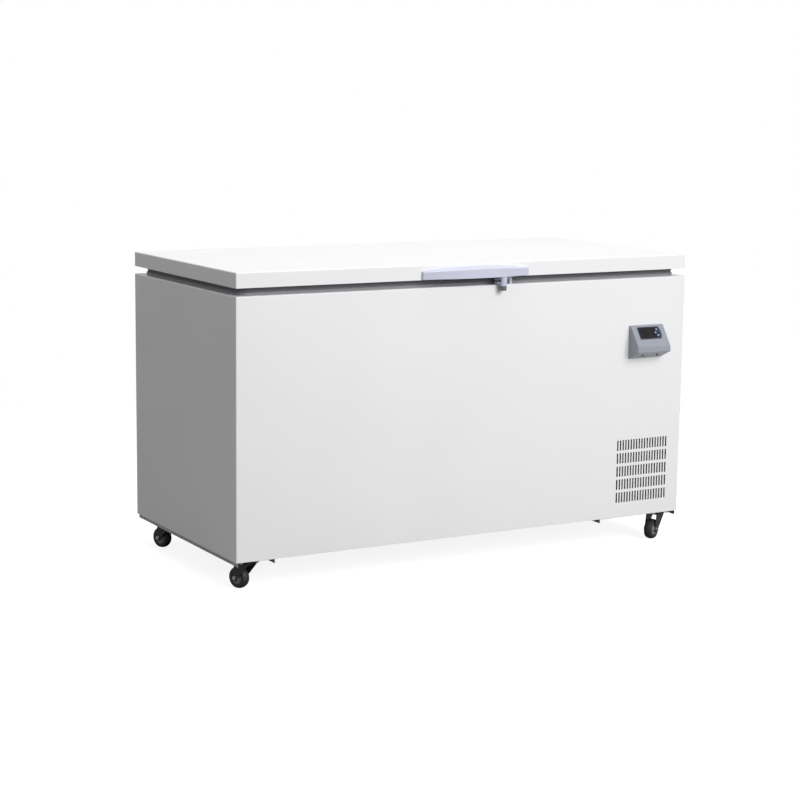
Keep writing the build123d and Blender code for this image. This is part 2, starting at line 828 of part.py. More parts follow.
with BuildPart() as hinge_pins:
    for side in (-1, 1):
        with BuildSketch(Plane((side * hinge_spacing / 2, axis_y, axis_z), z_dir=(1, 0, 0))):
            Circle(hinge_pin_radius)
        extrude(amount=hinge_width / 2 + hinge_sheet, both=True)
        for end in (-1, 1):
            head_x = side * hinge_spacing / 2 + end * hinge_width / 2
            with BuildSketch(Plane((head_x, axis_y, axis_z), z_dir=(end, 0, 0))):
                Circle(hinge_pin_radius + hinge_side_gap)
            extrude(amount=hinge_sheet)
hinge_pins.part.label = "hinge_pins"
export_step(hinge_pins.part, "parts/hinge_pins.step")

# Control box: a wedge-shaped moulding with a sloping face, open at the back
control_x = right_x - control_right_margin - control_width / 2
control_top = body_top - control_top_below_body
control_bottom = control_top - control_height
slope_foot = control_top - control_slope_height
slope_out = control_reach - edge_radius
nose_bottom = slope_foot - control_nose_height


def control_profile():
    """Side view of the control box, with the front panel at y = front_y."""
    with BuildSketch(Plane.XY) as profile:
        Polygon(
            (front_y, control_top),
            (front_y, control_bottom),
            (front_y - control_wall, control_bottom),
            (front_y - control_reach, nose_bottom),
            (front_y - slope_out, slope_foot),
            (front_y - control_ledge, control_top),
            align=None,
        )
    return profile.sketch


with BuildPart() as control_box:
    with BuildSketch(Plane.YZ.offset(control_x)):
        add(control_profile())
    extrude(amount=control_width / 2, both=True)
    front_edges = control_box.edges().filter_by(
        lambda e: e.center().Y < front_y - control_wall and e.center().Z > control_bottom + 1
    )
    fillet(front_edges, radius=edge_radius)
    with BuildSketch(Plane.YZ.offset(control_x)):
        add(offset(control_profile(), amount=-control_wall, mode=Mode.PRIVATE))
        with Locations((front_y - control_wall, (control_top + control_bottom) / 2)):
            Rectangle(2 * control_wall, control_height - 2 * control_wall)
    extrude(amount=control_width / 2 - control_wall, both=True, mode=Mode.SUBTRACT)

slope_rise = control_slope_height
slope_run = slope_out - control_ledge
slope_length = sqrt(slope_rise**2 + slope_run**2)
slope_normal = (0, -slope_rise / slope_length, slope_run / slope_length)
window_share = window_down / slope_length
face_plane = Plane(
    origin=(
        control_x,
        front_y - control_ledge - slope_run * window_share,
        control_top - slope_rise * window_share,
    ),
    x_dir=(1, 0, 0),
    z_dir=slope_normal,
)


def window_outline(grow):
    """Outline of the display window: square on the left and bowed on the right."""
    left = -window_width / 2 - grow
    right = window_width / 2 - window_bow + grow
    half = window_height / 2 + grow
    with BuildSketch(Plane.XY) as outline:
        with BuildLine():
            Polyline((right, half), (left, half), (left, -half), (right, -half))
            ThreePointArc((right, -half), (right + window_bow, 0), (right, half))
        make_face()
    return outline.sketch


with BuildPart(mode=Mode.PRIVATE) as controller_form:
    with BuildSketch(face_plane):
        add(window_outline(bezel_border))
    extrude(amount=bezel_thickness)
    with BuildSketch(face_plane):
        Rectangle(case_width, case_height)
    extrude(amount=-case_depth)

with BuildPart() as control_housing:
    add(control_box.part)
    with BuildSketch(face_plane):
        Rectangle(case_width, case_height)
    extrude(amount=-2 * control_wall, mode=Mode.SUBTRACT)
control_housing.part.label = "control_box"
export_step(control_housing.part, "parts/control_box.step")

key_places = ((key_column, key_row), (key_column - key_stagger, 0), (key_column, -key_row))
key_floor = bezel_thickness - window_thickness - key_travel - key_spare
with BuildPart() as controller:
    add(controller_form.part)
    with BuildSketch(face_plane.offset(bezel_thickness)):
        add(window_outline(0))
    extrude(amount=-window_thickness, mode=Mode.SUBTRACT)
    with BuildSketch(face_plane.offset(bezel_thickness)):
        with Locations(*key_places):
            Circle(key_radius + key_gap)
    extrude(amount=key_floor - bezel_thickness, mode=Mode.SUBTRACT)
controller.part.label = "controller"
export_step(controller.part, "parts/controller.step")

with BuildPart() as display_window:
    with BuildSketch(face_plane.offset(bezel_thickness)):
        add(window_outline(0))
        with Locations(*key_places):
            Circle(key_radius + key_gap, mode=Mode.SUBTRACT)
    extrude(amount=-window_thickness)
display_window.part.label = "display_window"
export_step(display_window.part, "parts/display_window.step")

for name, place in zip(("key_up", "key_set", "key_down"), key_places):
    with BuildPart() as key:
        with BuildSketch(face_plane.offset(key_floor + key_travel + key_spare)):
            with Locations(place):
                Circle(key_radius)
        extrude(amount=window_thickness + key_proud)
        fillet(key.faces().sort_by(Axis(face_plane.origin, face_plane.z_dir))[-1].edges(), key_proud / 2)
    key.part.label = name
    export_step(key.part, f"parts/{name}.step")

# Condenser: finned block on two end brackets, close behind the grille
condenser_y = front_y + condenser_setback + condenser_depth / 2
condenser_left = grille_x - condenser_width / 2
condenser_tap_x = condenser_left - bracket_sheet - stub_length
bracket_height = grille_z + condenser_height / 2 - body_bottom
with BuildPart() as condenser:
    with BuildSketch(Plane((grille_x, condenser_y, grille_z - condenser_height / 2))):
        Rectangle(condenser_width, condenser_depth)
        fin_count = int(condenser_width / fin_pitch)
        for face_y in (-condenser_depth / 2, condenser_depth / 2):
            with Locations((0, face_y)):
                with GridLocations(fin_pitch, 0, fin_count, 1):
                    Rectangle(fin_gap, 2 * fin_depth, mode=Mode.SUBTRACT)
    extrude(amount=condenser_height)
    for end in (-1, 1):
        bracket_x = grille_x + end * (condenser_width + bracket_sheet) / 2
        foot_x = bracket_x + end * (bracket_foot - bracket_sheet) / 2
        with BuildSketch(Plane((bracket_x, condenser_y, body_bottom))):
            Rectangle(bracket_sheet, condenser_depth)
        extrude(amount=bracket_height)
        with BuildSketch(Plane((foot_x, condenser_y, body_bottom))):
            Rectangle(bracket_foot, condenser_depth)
        extrude(amount=bracket_sheet)
    for tap in (-condenser_tap, condenser_tap):
        with BuildSketch(Plane((condenser_left, condenser_y, grille_z + tap), z_dir=(-1, 0, 0))):
            Circle(pipe_radius)
        extrude(amount=stub_length + bracket_sheet)
condenser.part.label = "condenser"
export_step(condenser.part, "parts/condenser.step")

# Fan shroud: a plate behind the condenser with a duct for the fan
shroud_y = condenser_y + condenser_depth / 2
duct_end = shroud_y + bracket_sheet + duct_length
duct_radius = fan_radius + fan_tip_gap
with BuildPart() as fan_shroud:
    with BuildSketch(Plane.XZ.offset(-shroud_y)):
        with Locations((grille_x, body_bottom + bracket_height / 2)):
            Rectangle(condenser_width, bracket_height)
    extrude(amount=-bracket_sheet)
    with BuildSketch(Plane((grille_x, shroud_y + bracket_foot / 2, body_bottom))):
        Rectangle(condenser_width, bracket_foot)
    extrude(amount=bracket_sheet)
    with BuildSketch(Plane((grille_x, shroud_y, grille_z), z_dir=(0, 1, 0))):
        Circle(duct_radius + bracket_sheet)
    extrude(amount=bracket_sheet + duct_length)
    with BuildSketch(Plane((grille_x, shroud_y, grille_z), z_dir=(0, 1, 0))):
        Circle(duct_radius)
    extrude(amount=bracket_sheet + duct_length, mode=Mode.SUBTRACT)
fan_shroud.part.label = "fan_shroud"
export_step(fan_shroud.part, "parts/fan_shroud.step")

# Fan: pitched blades on a hub, with the shaft that runs in the motor
fan_y = shroud_y + (bracket_sheet + duct_length) / 2
shaft_end = fan_y + fan_hub_length / 2 + fan_shaft_length
fan_plane = Plane((grille_x, fan_y, grille_z), z_dir=(0, 1, 0))
with BuildPart() as fan:
    with BuildPart(fan_plane, mode=Mode.PRIVATE) as blades:
        with PolarLocations(0, fan_blades):
            with Locations(Location((fan_radius / 2, 0, 0), (blade_pitch, 0, 0))):
                Box(fan_radius + blade_sheet, blade_chord, blade_sheet)
    add(blades.part)
    with BuildSketch(fan_plane):
        Circle(fan_radius)
    extrude(amount=blade_chord / 2, both=True, mode=Mode.INTERSECT)
    with BuildSketch(fan_plane):
        Circle(fan_hub_radius)
    extrude(amount=fan_hub_length / 2, both=True)
    with BuildSketch(fan_plane):
        Circle(fan_shaft_radius)
    extrude(amount=fan_hub_length / 2 + fan_shaft_length)
fan.part.label = "fan"
export_step(fan.part, "parts/fan.step")

# Fan motor on a cross of arms that stands on the end of the duct
with BuildPart() as fan_motor:
    with BuildSketch(Plane((grille_x, duct_end, grille_z), z_dir=(0, 1, 0))):
        Circle(motor_radius)
    extrude(amount=motor_length)
    fillet(fan_motor.faces().sort_by(Axis.Y)[-1].edges(), radius=bend_radius)
    with BuildSketch(Plane((grille_x, duct_end, grille_z), z_dir=(0, 1, 0))):
        with PolarLocations(0, 2, angular_range=180):
            Rectangle(2 * duct_radius + 2 * bracket_sheet, motor_arm)
    extrude(amount=2 * bracket_sheet)
    with BuildSketch(Plane((grille_x, duct_end, grille_z), z_dir=(0, 1, 0))):
        Circle(fan_shaft_radius + running_clearance)
    extrude(amount=shaft_end + face_clearance - duct_end, mode=Mode.SUBTRACT)
fan_motor.part.label = "fan_motor"
export_step(fan_motor.part, "parts/fan_motor.step")

# Compressor: a welded shell on a base plate that stands on four rubber mounts
compressor_y = back_y - compressor_rear_margin
compressor_floor = body_bottom + mount_height
shell_bottom = compressor_floor + 2 * bracket_sheet
stub_z = body_bottom + stub_rise + mount_height
stub_end_y = compressor_y - compressor_radius - stub_length
with BuildPart() as compressor_shell:
    with BuildSketch(Plane((grille_x, compressor_y, shell_bottom))):
        Circle(compressor_radius)
    extrude(amount=compressor_shell_height)
    fillet(compressor_shell.faces().sort_by(Axis.Z)[-1].edges(), radius=compressor_dome)
with BuildPart() as compressor:
    add(compressor_shell.part)
    with BuildSketch(Plane((grille_x, compressor_y, shell_bottom + compressor_shell_height / 2))):
        Circle(compressor_radius + compressor_seam)
    extrude(amount=compressor_seam)
    with BuildSketch(Plane((grille_x, compressor_y, compressor_floor))):
        RectangleRounded(compressor_base_x, compressor_base_y, mount_radius)
    extrude(amount=2 * bracket_sheet)
    for side in (-1, 1):
        stub_x = grille_x + side * stub_spread / 2
        with BuildSketch(Plane((stub_x, stub_end_y, stub_z), z_dir=(0, 1, 0))):
            Circle(stub_radius)
        extrude(amount=compressor_radius / 2)
compressor.part.label = "compressor"
export_step(compressor.part, "parts/compressor.step")

mount_x = compressor_base_x - 2 * mount_radius
mount_y = compressor_base_y - 2 * mount_radius
with BuildPart() as compressor_mounts:
    with BuildSketch(Plane((grille_x, compressor_y, body_bottom))):
        with GridLocations(mount_x, mount_y, 2, 2):
            Circle(mount_radius)
    extrude(amount=mount_height)
compressor_mounts.part.label = "compressor_mounts"
export_step(compressor_mounts.part, "parts/compressor_mounts.step")

cover_z = shell_bottom + terminal_cover_height / 2 + compressor_seam
with BuildPart() as terminal_cover:
    with BuildSketch(Plane.YZ.offset(grille_x)):
        with Locations((compressor_y, cover_z)):
            Rectangle(terminal_cover_width, terminal_cover_height)
    extrude(amount=compressor_radius + terminal_cover_depth)
    fillet(terminal_cover.edges().filter_by(Axis.X), radius=bend_radius)
    with BuildSketch(Plane((grille_x, compressor_y, shell_bottom))):
        Circle(compressor_radius)
    extrude(amount=compressor_shell_height, mode=Mode.SUBTRACT)
terminal_cover.part.label = "terminal_cover"
export_step(terminal_cover.part, "parts/terminal_cover.step")

# Filter drier: a copper capsule beside the compartment wall, held by its pipes
pipe_x = bay_left + sheet + pipe_wall_gap
drier_bottom = body_bottom + drier_rise
with BuildPart() as filter_drier:
    with BuildSketch(Plane((pipe_x, drier_y, drier_bottom))):
        Circle(drier_radius)
    extrude(amount=drier_length)
    round_ends = filter_drier.faces().sort_by(Axis.Z)
    fillet(round_ends[0].edges() + round_ends[-1].edges(), radius=drier_radius - stub_radius)
filter_drier.part.label = "filter_drier"
export_step(filter_drier.part, "parts/filter_drier.step")

# Pipes of the circuit, each meeting its fittings end to end
discharge_x = grille_x - stub_spread / 2
suction_x = grille_x + stub_spread / 2
discharge_turn = stub_end_y - 3 * pipe_bend
suction_turn = stub_end_y - 5 * pipe_bend
drier_top = drier_bottom + drier_length
high_tap = grille_z + condenser_tap
low_tap = grille_z - condenser_tap
ceiling = bay_top - sheet
circuit = (
    (
        pipe_radius,
        (discharge_x, stub_end_y, stub_z),
        (discharge_x, discharge_turn, stub_z),
        (discharge_x, discharge_turn, high_tap),
        (pipe_x, discharge_turn, high_tap),
        (pipe_x, condenser_y, high_tap),
        (condenser_tap_x, condenser_y, high_tap),
    ),
    (
        pipe_radius,
        (condenser_tap_x, condenser_y, low_tap),
        (pipe_x, condenser_y, low_tap),
        (pipe_x, drier_y, low_tap),
        (pipe_x, drier_y, drier_bottom),
    ),
    (
        capillary_radius,
        (pipe_x, drier_y, drier_top),
        (pipe_x, drier_y, drier_top + pipe_bend),
        (bay_left + sheet, drier_y, drier_top + pipe_bend),
    ),
    (
        pipe_radius,
        (suction_x, stub_end_y, stub_z),
        (suction_x, suction_turn, stub_z),
        (suction_x, suction_turn, ceiling),
    ),
)
with BuildPart() as refrigerant_lines:
    for radius, *route in circuit:
        with BuildLine() as centre_line:
            FilletPolyline(*route, radius=pipe_bend - 0.5)
        with BuildSketch(centre_line.line ^ 0):
            Circle(radius)
        sweep(path=centre_line.line)
refrigerant_lines.part.label = "refrigerant_lines"
export_step(refrigerant_lines.part, "parts/refrigerant_lines.step")

# Casters: a fixed plate under the base, and a fork that swivels on a kingpin
front_caster_y = front_y + caster_inset_front
rear_caster_y = back_y - caster_inset_rear
left_caster_x = left_x + caster_inset_x
right_caster_x = right_x - caster_inset_x
caster_places = (
    ("caster_fl", left_caster_x, front_caster_y, heading_front_left),
    ("caster_fr", right_caster_x, front_caster_y, heading_front_right),
    ("caster_bl", left_caster_x, rear_caster_y, heading_rear_left),
    ("caster_br", right_caster_x, rear_caster_y, heading_rear_right),
)
plate_bottom = caster_height - caster_plate_thickness
with BuildPart() as caster_plates:
    for name, caster_x, caster_y, heading in caster_places:
        with BuildSketch(Plane((caster_x, caster_y, plate_bottom))):
            RectangleRounded(caster_plate, caster_plate, axle_radius)
            Circle(kingpin_radius + running_clearance, mode=Mode.SUBTRACT)
        extrude(amount=caster_plate_thickness)
caster_plates.part.label = "caster_plates"
export_step(caster_plates.part, "parts/caster_plates.step")

race_top = plate_bottom - face_clearance
crown_top = race_top - race_height
crown_bottom = crown_top - fork_sheet
hub_length = fork_gap - 2 * face_clearance
for name, caster_x, caster_y, heading in caster_places:
    along = (cos(radians(heading)), sin(radians(heading)), 0)
    across = (sin(radians(heading)), -cos(radians(heading)), 0)
    side_view = Plane(origin=(caster_x, caster_y, 0), x_dir=along, z_dir=across)
    wheel_view = Plane(
        origin=(
            caster_x + caster_trail * along[0],
            caster_y + caster_trail * along[1],
            wheel_radius,
        ),
        x_dir=along,
        z_dir=across,
    )
    axle_line = Axis(wheel_view.origin, wheel_view.z_dir)
    wheel_section = Plane(origin=wheel_view.origin, x_dir=along, z_dir=(0, 0, -1))

    with BuildPart() as fork:
        with BuildSketch(side_view):
            with Locations((0, crown_top - fork_sheet / 2)):
                Rectangle(2 * fork_crown_radius, fork_sheet)
            with Locations((caster_trail, wheel_radius)):
                Circle(fork_leg_radius)
            make_hull()
        extrude(amount=fork_gap / 2 + fork_sheet, both=True)
        with BuildSketch(side_view):
            with Locations((0, crown_bottom / 2)):
                Rectangle(2 * (caster_trail + wheel_radius), crown_bottom)
        extrude(amount=fork_gap / 2, both=True, mode=Mode.SUBTRACT)
        with BuildSketch(wheel_view):
            Circle(axle_radius)
        extrude(amount=fork_gap, both=True, mode=Mode.SUBTRACT)
        with BuildSketch(Plane((caster_x, caster_y, crown_top))):
            Circle(race_radius)
        extrude(amount=race_height)
        with BuildSketch(Plane((caster_x, caster_y, race_top))):
            Circle(kingpin_radius)
        extrude(amount=plate_bottom + caster_plate_thickness + 2 * face_clearance - race_top)
        with BuildSketch(Plane((caster_x, caster_y, body_bottom - face_clearance))):
            Circle(kingpin_radius + kingpin_head - face_clearance)
        extrude(amount=2 * face_clearance - base_sheet)
    fork.part.label = f"{name}_fork"
    export_step(fork.part, f"parts/{name}_fork.step")

    with BuildPart() as axle:
        with BuildSketch(wheel_view):
            Circle(axle_radius)
        extrude(amount=fork_gap / 2 + fork_sheet + 2 * axle_head, both=True)
        for end in (-1, 1):
            with BuildSketch(wheel_view.offset(end * (fork_gap / 2 + fork_sheet))):
                RegularPolygon(axle_radius + axle_head, 6)
            extrude(amount=end * axle_head)
    axle.part.label = f"{name}_axle"
    export_step(axle.part, f"parts/{name}_axle.step")

    with BuildPart() as wheel:
        with BuildSketch(wheel_section):
            with BuildLine():
                hub_side = Polyline(
                    (axle_radius + running_clearance, 0),
                    (axle_radius + running_clearance, hub_length / 2),
                    (fork_leg_radius, hub_length / 2),
                    (fork_leg_radius + 1, hub_web / 2),
                    (hub_radius - 3, hub_web / 2),
                    (hub_radius - 2, wheel_width / 2 - edge_radius),
                    (hub_radius, wheel_width / 2 - edge_radius),
                    (hub_radius, 0),
                )
                mirror(hub_side, about=Plane.XZ)
            make_face()
        revolve(axis=axle_line)
    wheel.part.label = f"{name}_wheel"
    export_step(wheel.part, f"parts/{name}_wheel.step")

    with BuildPart() as tyre:
        with BuildSketch(wheel_section):
            with BuildLine():
                shoulder = wheel_width / 2
                Polyline(
                    (wheel_radius - 3, -shoulder + 1),
                    (hub_radius + 3, -shoulder),
                    (hub_radius, edge_radius - shoulder),
                    (hub_radius, shoulder - edge_radius),
                    (hub_radius + 3, shoulder),
                    (wheel_radius - 3, shoulder - 1),
                )
                ThreePointArc(
                    (wheel_radius - 3, shoulder - 1),
                    (wheel_radius, 0),
                    (wheel_radius - 3, 1 - shoulder),
                )
            make_face()
        revolve(axis=axle_line)
    tyre.part.label = f"{name}_tyre"
    export_step(tyre.part, f"parts/{name}_tyre.step")
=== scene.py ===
from math import cos, pi, radians, sin

import bmesh
import bpy
from mathutils import Matrix, Vector


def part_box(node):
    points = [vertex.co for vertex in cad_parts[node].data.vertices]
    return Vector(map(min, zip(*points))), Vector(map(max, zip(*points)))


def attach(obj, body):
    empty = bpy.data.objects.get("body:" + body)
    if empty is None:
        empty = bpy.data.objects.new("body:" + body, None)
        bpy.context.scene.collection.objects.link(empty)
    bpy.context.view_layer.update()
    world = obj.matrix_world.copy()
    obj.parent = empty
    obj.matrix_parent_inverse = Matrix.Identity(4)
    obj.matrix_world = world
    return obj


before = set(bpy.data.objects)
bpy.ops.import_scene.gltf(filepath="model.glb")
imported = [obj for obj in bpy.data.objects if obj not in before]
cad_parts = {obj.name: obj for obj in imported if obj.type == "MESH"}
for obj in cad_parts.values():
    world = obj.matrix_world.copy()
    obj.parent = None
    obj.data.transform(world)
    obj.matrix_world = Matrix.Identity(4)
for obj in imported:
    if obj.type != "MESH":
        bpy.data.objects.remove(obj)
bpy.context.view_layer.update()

scene = bpy.context.scene
scene.view_settings.view_transform = "Standard"

# The camera stands where the photographer stood: left of the freezer, a little above its lid,
# about six metres away, with a moderate telephoto lens.
camera_place = Vector((-3.0054, -5.1414, 1.412))
yaw, pitch, roll = radians(29.902), radians(9.227), radians(0.699)
focal_length = 87.921
sensor_width = 36
ahead = Vector((sin(yaw) * cos(pitch), cos(yaw) * cos(pitch), -sin(pitch)))
level_right = Vector((cos(yaw), -sin(yaw), 0))
level_up = level_right.cross(ahead)
right = cos(roll) * level_right + sin(roll) * level_up
up = cos(roll) * level_up - sin(roll) * level_right
camera_data = bpy.data.cameras.new("photo_camera")
camera_data.sensor_width = sensor_width
camera_data.lens = focal_length
camera = bpy.data.objects.new("photo_camera", camera_data)
camera.matrix_world = Matrix.Translation(camera_place) @ Matrix(
    (right, up, -ahead)
).transposed().to_4x4()
scene.collection.objects.link(camera)
scene.camera = camera


# The studio: a pale floor, a white surround for what the camera and mirrors see, and a dimmer
# one for the light itself. Two softboxes light it. Every colour here is an sRGB hex value.
def colour(hex_code):
    """Linear colour with alpha from an sRGB hex value."""
    parts = [int(hex_code[i : i + 2], 16) / 255 for i in (1, 3, 5)]
    linear = [p / 12.92 if p <= 0.04045 else ((p + 0.055) / 1.055) ** 2.4 for p in parts]
    return (*linear, 1.0)


def add_node(tree, kind, inputs=None, **settings):
    """Add a node, set its options, and fill or link its inputs."""
    made = tree.nodes.new(kind)
    for name, value in settings.items():
        setattr(made, name, value)
    for name, value in (inputs or {}).items():
        if isinstance(value, bpy.types.NodeSocket):
            tree.links.new(value, made.inputs[name])
        else:
            made.inputs[name].default_value = value
    return made


surround_light_level = 0.35
surround = bpy.data.worlds.new("studio_surround")
surround.use_nodes = True
surround.node_tree.nodes.clear()
scene.world = surround
sky = surround.node_tree
ray = add_node(sky, "ShaderNodeLightPath")
seen = add_node(
    sky,
    "ShaderNodeMath",
    {0: ray.outputs["Is Camera Ray"], 1: ray.outputs["Is Glossy Ray"]},
    operation="MAXIMUM",
)
seen_through = add_node(
    sky,
    "ShaderNodeMath",
    {0: seen.outputs[0], 1: ray.outputs["Is Transmission Ray"]},
    operation="MAXIMUM",
)
surround_level = add_node(
    sky,
    "ShaderNodeMapRange",
    {"Value": seen_through.outputs[0], "To Min": surround_light_level, "To Max": 1.0},
)
surround_light = add_node(
    sky,
    "ShaderNodeBackground",
    {"Color": colour("#FFFFFF"), "Strength": surround_level.outputs[0]},
)
add_node(sky, "ShaderNodeOutputWorld", {"Surface": surround_light.outputs[0]})

floor_reach = 14
floor_gap = 0.0006
floor_fades_from = 1.3
floor_white_from = 3.0
floor_glow = 0.88
floor_mesh = bpy.data.meshes.new("studio_floor")
floor_mesh.from_pydata(
    [
        (x * floor_reach, y * floor_reach, -floor_gap)
        for x, y in ((-1, -1), (1, -1), (1, 1), (-1, 1))
    ],
    [],
    [(0, 1, 2, 3)],
)
floor = bpy.data.objects.new("studio_floor", floor_mesh)
scene.collection.objects.link(floor)
floor_paint = bpy.data.materials.new("studio_floor_paint")
floor_paint.use_nodes = True
floor_paint.node_tree.nodes.clear()
tree = floor_paint.node_tree
ray = add_node(tree, "ShaderNodeLightPath")
place = add_node(tree, "ShaderNodeTexCoord")
distance = add_node(
    tree, "ShaderNodeVectorMath", {0: place.outputs["Object"]}, operation="LENGTH"
)
far_off = add_node(
    tree,
    "ShaderNodeMapRange",
    {
        "Value": distance.outputs["Value"],
        "From Min": floor_fades_from,
        "From Max": floor_white_from,
    },
    interpolation_type="SMOOTHSTEP",
)
lit = add_node(tree, "ShaderNodeBsdfDiffuse", {"Color": colour("#A4A4A4")})
glow = add_node(
    tree, "ShaderNodeEmission", {"Color": colour("#FFFFFF"), "Strength": floor_glow}
)
seen_floor = add_node(tree, "ShaderNodeAddShader", {0: lit.outputs[0], 1: glow.outputs[0]})
white = add_node(tree, "ShaderNodeEmission", {"Color": colour("#FFFFFF"), "Strength": 1.0})
seen_floor = add_node(
    tree,
    "ShaderNodeMixShader",
    {0: far_off.outputs[0], 1: seen_floor.outputs[0], 2: white.outputs[0]},
)
dim = add_node(tree, "ShaderNodeBsdfDiffuse", {"Color": colour("#9A9A9A")})
shown = add_node(
    tree,
    "ShaderNodeMixShader",
    {0: ray.outputs["Is Camera Ray"], 1: dim.outputs[0], 2: seen_floor.outputs[0]},
)
add_node(tree, "ShaderNodeOutputMaterial", {"Surface": shown.outputs[0]})
floor_mesh.materials.append(floor_paint)

lamp_target = Vector((0, 0, 0.45))
for lamp_name, lamp_place, lamp_size, lamp_power in (
    ("key_softbox", (1.2, -4.8, 2.9), 3.0, 222),
    ("overhead_softbox", (0.0, 0.6, 4.2), 3.4, 78),
):
    lamp_data = bpy.data.lights.new(lamp_name, "AREA")
    lamp_data.shape = "SQUARE"
    lamp_data.size = lamp_size
    lamp_data.energy = lamp_power
    lamp = bpy.data.objects.new(lamp_name, lamp_data)
    lamp.location = lamp_place
    lamp.rotation_euler = (
        (lamp_target - lamp.location).to_track_quat("-Z", "Y").to_euler()
    )
    scene.collection.objects.link(lamp)


# Outer skin and lid skin: folded sheet steel with a white polyester powder coat. Powder flows
# out with a faint orange peel, about 3 mm from crest to crest, and is smooth and half glossy.
def material(name, hex_code, roughness, metallic=0.0):
    """Start a material and return it with its tree, shader and Object coordinates."""
    made = bpy.data.materials.new(name)
    made.use_nodes = True
    made.node_tree.nodes.clear()
    made.diffuse_color = colour(hex_code)
    shader = add_node(
        made.node_tree,
        "ShaderNodeBsdfPrincipled",
        {"Base Color": colour(hex_code), "Roughness": roughness, "Metallic": metallic},
    )
    add_node(made.node_tree, "ShaderNodeOutputMaterial", {"Surface": shader.outputs[0]})
    coordinates = add_node(made.node_tree, "ShaderNodeTexCoord")
    return made, made.node_tree, shader, coordinates.outputs["Object"]


def tones(surface, dark, light, size):
    """Drift the colour between two close tones, in patches of this size in metres."""
    made, tree, shader, spot = surface
    drift = add_node(
        tree, "ShaderNodeTexNoise", {"Vector": spot, "Scale": 1 / size, "Detail": 3.0}
    )
    # Sockets 6 and 7 of a Mix node are its two colours.
    mixed = add_node(
        tree,
        "ShaderNodeMix",
        {0: drift.outputs["Fac"], 6: colour(dark), 7: colour(light)},
        data_type="RGBA",
    )
    tree.links.new(mixed.outputs[2], shader.inputs["Base Color"])


def relief(surface, size, depth):
    """Give the surface a fine irregular relief of this size and depth in metres."""
    made, tree, shader, spot = surface
    grain = add_node(
        tree, "ShaderNodeTexNoise", {"Vector": spot, "Scale": 1 / size, "Detail": 2.0}
    )
    bump = add_node(
        tree,
        "ShaderNodeBump",
        {"Height": grain.outputs["Fac"], "Strength": 1.0, "Distance": depth},
    )
    tree.links.new(bump.outputs[0], shader.inputs["Normal"])


def gloss_range(surface, size, low, high):
    """Let the roughness drift between two values, as handling and rolling leave it."""
    made, tree, shader, spot = surface
    patches = add_node(
        tree, "ShaderNodeTexNoise", {"Vector": spot, "Scale": 1 / size, "Detail": 4.0}
    )
    spread = add_node(
        tree,
        "ShaderNodeMapRange",
        {
            "Value": patches.outputs["Fac"],
            "From Min": 0.3,
            "From Max": 0.7,
            "To Min": low,
            "To Max": high,
        },
    )
    tree.links.new(spread.outputs[0], shader.inputs["Roughness"])


def dress(surface, *names):
    """Give CAD nodes this material."""
    for name in names:
        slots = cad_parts[name].data.materials
        slots.clear()
        slots.append(surface[0])


powder_coat = material("white_powder_coat", "#E9E9EA", 0.34)
tones(powder_coat, "#E6E6E7", "#EBEBEC", 0.35)
relief(powder_coat, 0.003, 0.00004)
gloss_range(powder_coat, 0.2, 0.30, 0.38)
dress(
    powder_coat,
    "front_panel",
    "left_side_panel",
    "right_side_panel",
    "rear_panel",
    "rear_vent_cover",
    "lid_shell",
)

# Base channels, bottom skin, compartment lining and fan shroud: hot-dip galvanised sheet. The
# zinc freezes in flat grey spangles about 12 mm wide, each with its own sheen.
galvanised = material("galvanised_sheet", "#A9ACAE", 0.42, 1.0)
made, tree, shader, spot = galvanised
spangle_size = 0.012
spangle = add_node(
    tree, "ShaderNodeTexVoronoi", {"Vector": spot, "Scale": 1 / spangle_size, "Randomness": 1.0}
)
shade = add_node(tree, "ShaderNodeSeparateColor", {"Color": spangle.outputs["Color"]})
zinc = add_node(
    tree,
    "ShaderNodeMix",
    {0: shade.outputs["Red"], 6: colour("#9DA1A4"), 7: colour("#B4B7B9")},
    data_type="RGBA",
)
tree.links.new(zinc.outputs[2], shader.inputs["Base Color"])
sheen = add_node(
    tree,
    "ShaderNodeMapRange",
    {"Value": shade.outputs["Green"], "To Min": 0.34, "To Max": 0.52},
)
tree.links.new(sheen.outputs[0], shader.inputs["Roughness"])
dress(
    galvanised,
    "bottom_panel",
    "compartment_lining",
    "left_base_channel",
    "compressor_tray",
    "fan_shroud",
)

# Inner liner: prepainted aluminium sheet, stucco-embossed with pebbles about 6 mm apart, which
# keep frost and scratches from showing.
stucco = material("stucco_embossed_liner", "#E4E7E8", 0.3)
made, tree, shader, spot = stucco
pebble_size = 0.006
pebble_height = 0.0008
pebbles = add_node(
    tree,
    "ShaderNodeTexVoronoi",
    {"Vector": spot, "Scale": 1 / pebble_size, "Randomness": 1.0},
    feature="SMOOTH_F1",
)
emboss = add_node(
    tree,
    "ShaderNodeBump",
    {"Height": pebbles.outputs["Distance"], "Strength": 1.0, "Distance": pebble_height},
)
tree.links.new(emboss.outputs[0], shader.inputs["Normal"])
tones(stucco, "#E0E3E4", "#E8EAEB", 0.3)
dress(stucco, "inner_liner")

# Foam core of the cabinet and the lid: rigid polyurethane, cream and faintly mottled with fine
# cells, hidden between the skins.
foam = material("polyurethane_foam", "#E6D6A8", 0.85)
tones(foam, "#DDCB98", "#ECDDB2", 0.05)
relief(foam, 0.0015, 0.0004)
dress(foam, "cabinet_insulation", "lid_insulation")

# Evaporator: aluminium tube, rolled to a flat oval and wound round the liner. Rolling leaves it
# dull, with a sheen that varies from turn to turn.
tube_aluminium = material("flattened_aluminium_tube", "#C6C8C9", 0.4, 1.0)
tones(tube_aluminium, "#BEC0C2", "#CDCFD0", 0.04)
gloss_range(tube_aluminium, 0.03, 0.34, 0.48)
dress(tube_aluminium, "evaporator_coil")

